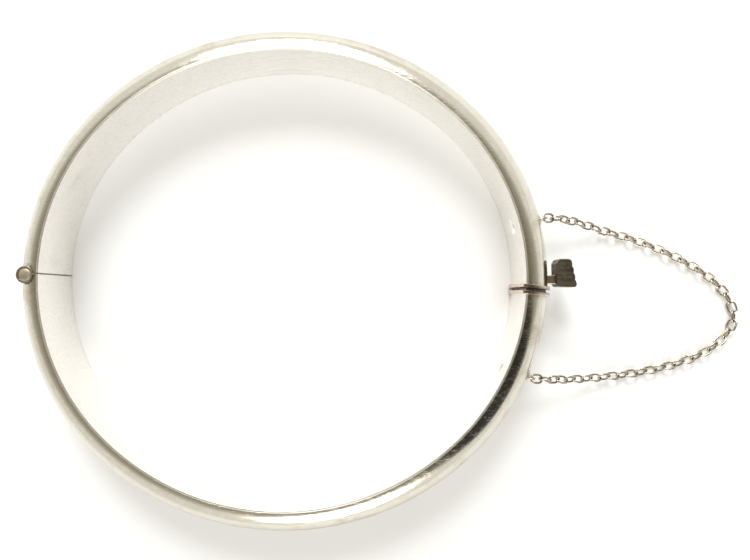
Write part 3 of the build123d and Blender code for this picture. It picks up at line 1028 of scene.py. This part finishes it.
def link_mesh(sizes, seed):
    """Points and faces of one oval link about its own middle, with painted shade and grime at its ends and
    on its inner side.
    """
    chance = random.Random(seed)
    bend = sizes.link_half_width
    straight = sizes.link_reach - bend
    path = []
    for k in range(17):
        path.append(Vector((straight, 0, 0)) + unit(-math.pi / 2 + math.pi * k / 16) * bend)
    for k in range(1, 8):
        path.append(Vector((straight - 2 * straight * k / 8, bend, 0)))
    for k in range(17):
        path.append(Vector((-straight, 0, 0)) + unit(math.pi / 2 + math.pi * k / 16) * bend)
    for k in range(1, 8):
        path.append(Vector((-straight + 2 * straight * k / 8, -bend, 0)))
    joint = chance.choice((20, 44))
    radii = []
    for index in range(len(path)):
        near_joint = math.exp(-((index - joint) / 1.6) ** 2)
        worn = 0.05 * abs(path[index].x) / sizes.link_reach
        radii.append(sizes.link_wire * (1 + 0.10 * near_joint - worn))
    points, faces = tube(path, radii, 14)
    # Painted shade with some grime where the next links pass: darker on the inner side, most at the ends.
    shade_and_grime = []
    for point in points:
        ends = smooth_step(0.45, 1.0, abs(point.x) / sizes.link_reach)
        inside = smooth_step(0.08 * MM, -0.10 * MM, oval_side(point, straight, bend))
        shade_and_grime.append(min(1.0, 0.12 + 0.88 * ends * inside + 0.35 * inside))
    return points, faces, shade_and_grime


def oval_side(point, straight, bend):
    """How far outside the link's middle line a point is."""
    x = max(0.0, abs(point.x) - straight)
    return math.hypot(x, point.y) - bend


def islands(mesh):
    """The separate solids of a carried-over node, each as an array of its points."""
    work = bmesh.new()
    work.from_mesh(mesh)
    bmesh.ops.remove_doubles(work, verts=work.verts, dist=0.001 * MM)
    work.verts.ensure_lookup_table()
    unseen = set(work.verts)
    found = []
    while unseen:
        stack = [unseen.pop()]
        group = []
        while stack:
            vertex = stack.pop()
            group.append(vertex.co[:])
            for edge in vertex.link_edges:
                other = edge.other_vert(vertex)
                if other in unseen:
                    unseen.remove(other)
                    stack.append(other)
        found.append(np.array(group))
    work.free()
    found.sort(key=lambda group: group[:, 0].mean())
    return found


def link_frame(group):
    """The matrix that lays a link's own X along the solid and its own Z across its plane."""
    middle = group.mean(0)
    _, _, axes = np.linalg.svd(group - middle, full_matrices=False)
    spans = (group - middle) @ axes.T
    middle = middle + ((spans.max(0) + spans.min(0)) / 2) @ axes
    x_axis, y_axis = Vector(axes[0]), Vector(axes[1])
    z_axis = x_axis.cross(y_axis)
    place = Matrix((x_axis, y_axis, z_axis)).transposed().to_4x4()
    place.translation = Vector(middle)
    return place


class BANGLE_OT_safety_chain(bpy.types.Operator):
    """Build the safety chain's links where the frame's links lie"""

    bl_idname = "bangle.safety_chain"
    bl_label = "Safety chain"

    def execute(self, context):
        sizes = context.scene.bangle_sizes
        bodies = frame["record"]["behaviour"]["bodies"]
        chain = {body: nodes[0] for body, nodes in bodies.items() if nodes[0].startswith("chain_")}
        for order, (body, node) in enumerate(sorted(chain.items())):
            points, faces, shade_and_grime = [], [], []
            for group in islands(frame["nodes"][node].data):
                place = link_frame(group)
                link, quads, link_shade_and_grime = link_mesh(sizes, order * 2 + len(points))
                faces += [tuple(index + len(points) for index in quad) for quad in quads]
                points += [place @ point for point in link]
                shade_and_grime += link_shade_and_grime
            piece = new_object(f"{node}_wire", points, faces, metal("chain"), 60.0)
            layer = piece.data.attributes.new("crease", "FLOAT", "POINT")
            layer.data.foreach_set("value", shade_and_grime)
            settle(piece, body, "chain_silver", node)
        return {"FINISHED"}


# ---------------------------------------------------------------- stage


def paper(tint):
    """Plain pale paper with a faint tooth and a faint painted glow."""
    paint = Paint("Pale paper")
    tooth = paint.clouds(1.5 * MM, detail=5.0)
    tone = paint.blend(paint.band_of(tooth, 0.3, 0.7, 0.0, 0.03), tint, (0.86, 0.86, 0.85))
    paint.join(tone, paint.shader.inputs["Base Color"])
    paint.shader.inputs["Roughness"].default_value = 0.85
    # A faint painted glow that lifts the shadows on the paper.
    paint.shader.inputs["Emission Color"].default_value = (1.0, 1.0, 1.0, 1.0)
    paint.shader.inputs["Emission Strength"].default_value = 0.05
    paint.join(paint.relief(tooth, 0.004 * MM, 0.2), paint.shader.inputs["Normal"])
    return paint.material


def tent(scene):
    """A white light tent: dim overhead, bright at its sides, with one dark opening."""
    world = bpy.data.worlds.new("Light tent")
    world.use_nodes = True
    scene.world = world
    tree = world.node_tree
    nodes, links = tree.nodes, tree.links
    facing = nodes.new("ShaderNodeTexCoord").outputs["Generated"]

    def towards(direction):
        """How far the view is turned to a direction."""
        node = nodes.new("ShaderNodeVectorMath")
        node.operation = "DOT_PRODUCT"
        node.inputs[1].default_value = direction
        links.new(facing, node.inputs[0])
        return node.outputs["Value"]

    def reckon(operation, first, second):
        """Arithmetic on two values, the second of which may be a number."""
        node = nodes.new("ShaderNodeMath")
        node.operation = operation
        links.new(first, node.inputs[0])
        if isinstance(second, float):
            node.inputs[1].default_value = second
        else:
            links.new(second, node.inputs[1])
        return node.outputs[0]

    # The tent is open above and lit through its long sides, +Y more than -Y
    sides = reckon("MAXIMUM", towards((0, 0.75, 0)), towards((0, -0.50, 0)))
    depth = reckon("SUBTRACT", towards((0, 0, 1)), sides)
    ramp = nodes.new("ShaderNodeValToRGB")
    stops = ramp.color_ramp.elements
    stops[0].position, stops[0].color = 0.0, (1.10, 1.10, 1.09, 1)
    stops[1].position, stops[1].color = 0.86, (0.25, 0.225, 0.155, 1)
    for position, tone in ((0.06, (1.14, 1.13, 1.11, 1)), (0.34, (0.56, 0.535, 0.455, 1))):
        stops.new(position).color = tone
    links.new(depth, ramp.inputs[0])
    # One dark opening, tall and narrow, towards the clasp
    azimuth = reckon("DIVIDE", towards((0.545, 0.838, 0)), 0.36)
    rise = reckon("DIVIDE", towards((-0.587, 0.380, 0.715)), 0.50)
    oval = reckon("ADD", reckon("MULTIPLY", azimuth, azimuth), reckon("MULTIPLY", rise, rise))
    behind = reckon("MULTIPLY", reckon("LESS_THAN", towards((0.60, -0.39, 0.70)), 0.0), 9.0)
    shade = nodes.new("ShaderNodeMapRange")
    shade.interpolation_type = "SMOOTHSTEP"
    shade.inputs["From Min"].default_value = 1.15
    shade.inputs["From Max"].default_value = 0.75
    shade.inputs["To Max"].default_value = 0.96
    links.new(reckon("ADD", oval, behind), shade.inputs["Value"])
    mix = nodes.new("ShaderNodeMix")
    mix.data_type = "RGBA"
    links.new(shade.outputs["Result"], mix.inputs["Factor"])
    links.new(ramp.outputs["Color"], mix.inputs[6])
    mix.inputs[7].default_value = (0.02, 0.02, 0.02, 1)
    background = nodes["Background"]
    links.new(mix.outputs[2], background.inputs["Color"])
    background.inputs["Strength"].default_value = 0.95


def soft_box(name, place, target, size, power, tint=(1.0, 1.0, 1.0)):
    """A large soft lamp turned to its target."""
    lamp = bpy.data.lights.new(name, "AREA")
    lamp.shape = "DISK"
    lamp.size = size
    lamp.energy = power
    lamp.color = tint
    holder = bpy.data.objects.new(name, lamp)
    holder.location = place
    holder.rotation_euler = (Vector(target) - Vector(place)).to_track_quat("-Z", "Y").to_euler()
    bpy.context.scene.collection.objects.link(holder)
    return holder


class BANGLE_OT_stage(bpy.types.Operator):
    """Lay the paper, hang the lamps and place the camera"""

    bl_idname = "bangle.stage"
    bl_label = "Stage"

    def execute(self, context):
        scene = context.scene
        reach = 1.5
        rings, segments = 24, 96
        points = [Vector((0, 0, 0))]
        for ring in range(1, rings + 1):
            radius = reach * (ring / rings) ** 2
            points += [unit(2 * math.pi * k / segments) * radius for k in range(segments)]
        faces = [(0, 1 + k, 1 + (k + 1) % segments) for k in range(segments)]
        for ring in range(rings - 1):
            base = 1 + ring * segments
            for k in range(segments):
                after = (k + 1) % segments
                faces.append((base + k, base + segments + k, base + segments + after, base + after))
        floor = new_object("paper_floor", points, faces, paper(scene.bangle_colours.floor))
        floor.location.z = CAD_BOX[0].z - 0.00001
        tent(scene)
        lamps = [
            soft_box("back_soft_box", (-0.04, 0.42, 0.30), (0, 0, 0), 0.30, 2.6),
            soft_box("front_soft_box", (0.04, -0.46, 0.24), (0, 0, 0), 0.30, 1.6),
        ]
        scene.view_settings.view_transform = "Standard"
        scene.view_settings.look = "None"
        scene.view_settings.exposure = 0.0
        lens = bpy.data.cameras.new("camera")
        lens.lens = 28.2
        lens.sensor_width = 36.0
        lens.clip_start = 0.001
        lens.clip_end = 10.0
        camera = bpy.data.objects.new("camera", lens)
        scene.collection.objects.link(camera)
        eye = Vector((11.14, -2.31, 77.7)) * MM
        target = Vector((11.05, -0.29, 8.0)) * MM
        back = (eye - target).normalized()
        right = Vector((0, 1, 0)).cross(back).normalized()
        up = back.cross(right)
        camera.matrix_world = Matrix.Translation(eye) @ Matrix(
            (right, up, back)
        ).transposed().to_4x4()
        scene.camera = camera
        return {"FINISHED"}


class BANGLE_PT_panel(bpy.types.Panel):
    """The bangle's sizes, colours and steps in the sidebar"""

    bl_idname = "BANGLE_PT_panel"
    bl_label = "Bangle"
    bl_space_type = "VIEW_3D"
    bl_region_type = "UI"
    bl_category = "Bangle"

    def draw(self, context):
        layout = self.layout
        for group in (context.scene.bangle_sizes, context.scene.bangle_colours):
            column = layout.column()
            for name in group.__annotations__:
                column.prop(group, name)
        for step in STEPS:
            layout.operator(step.bl_idname)


STEPS = (
    BANGLE_OT_shells, BANGLE_OT_linings, BANGLE_OT_end_plates, BANGLE_OT_hinge,
    BANGLE_OT_tongue, BANGLE_OT_thumb_piece, BANGLE_OT_chain_eyes, BANGLE_OT_safety_chain,
    BANGLE_OT_stage,
)
CLASSES = (BangleSizes, BangleColours, *STEPS, BANGLE_PT_panel)


def register():
    for cls in CLASSES:
        bpy.utils.register_class(cls)
    bpy.types.Scene.bangle_sizes = PointerProperty(type=BangleSizes)
    bpy.types.Scene.bangle_colours = PointerProperty(type=BangleColours)


def unregister():
    del bpy.types.Scene.bangle_colours
    del bpy.types.Scene.bangle_sizes
    for cls in reversed(CLASSES):
        bpy.utils.unregister_class(cls)


def main():
    """Registers the classes and builds every piece in order."""
    register()
    for step in STEPS:
        group, name = step.bl_idname.split(".")
        getattr(getattr(bpy.ops, group), name)()
    bpy.context.view_layer.update()


if __name__ == "__main__":
    main()
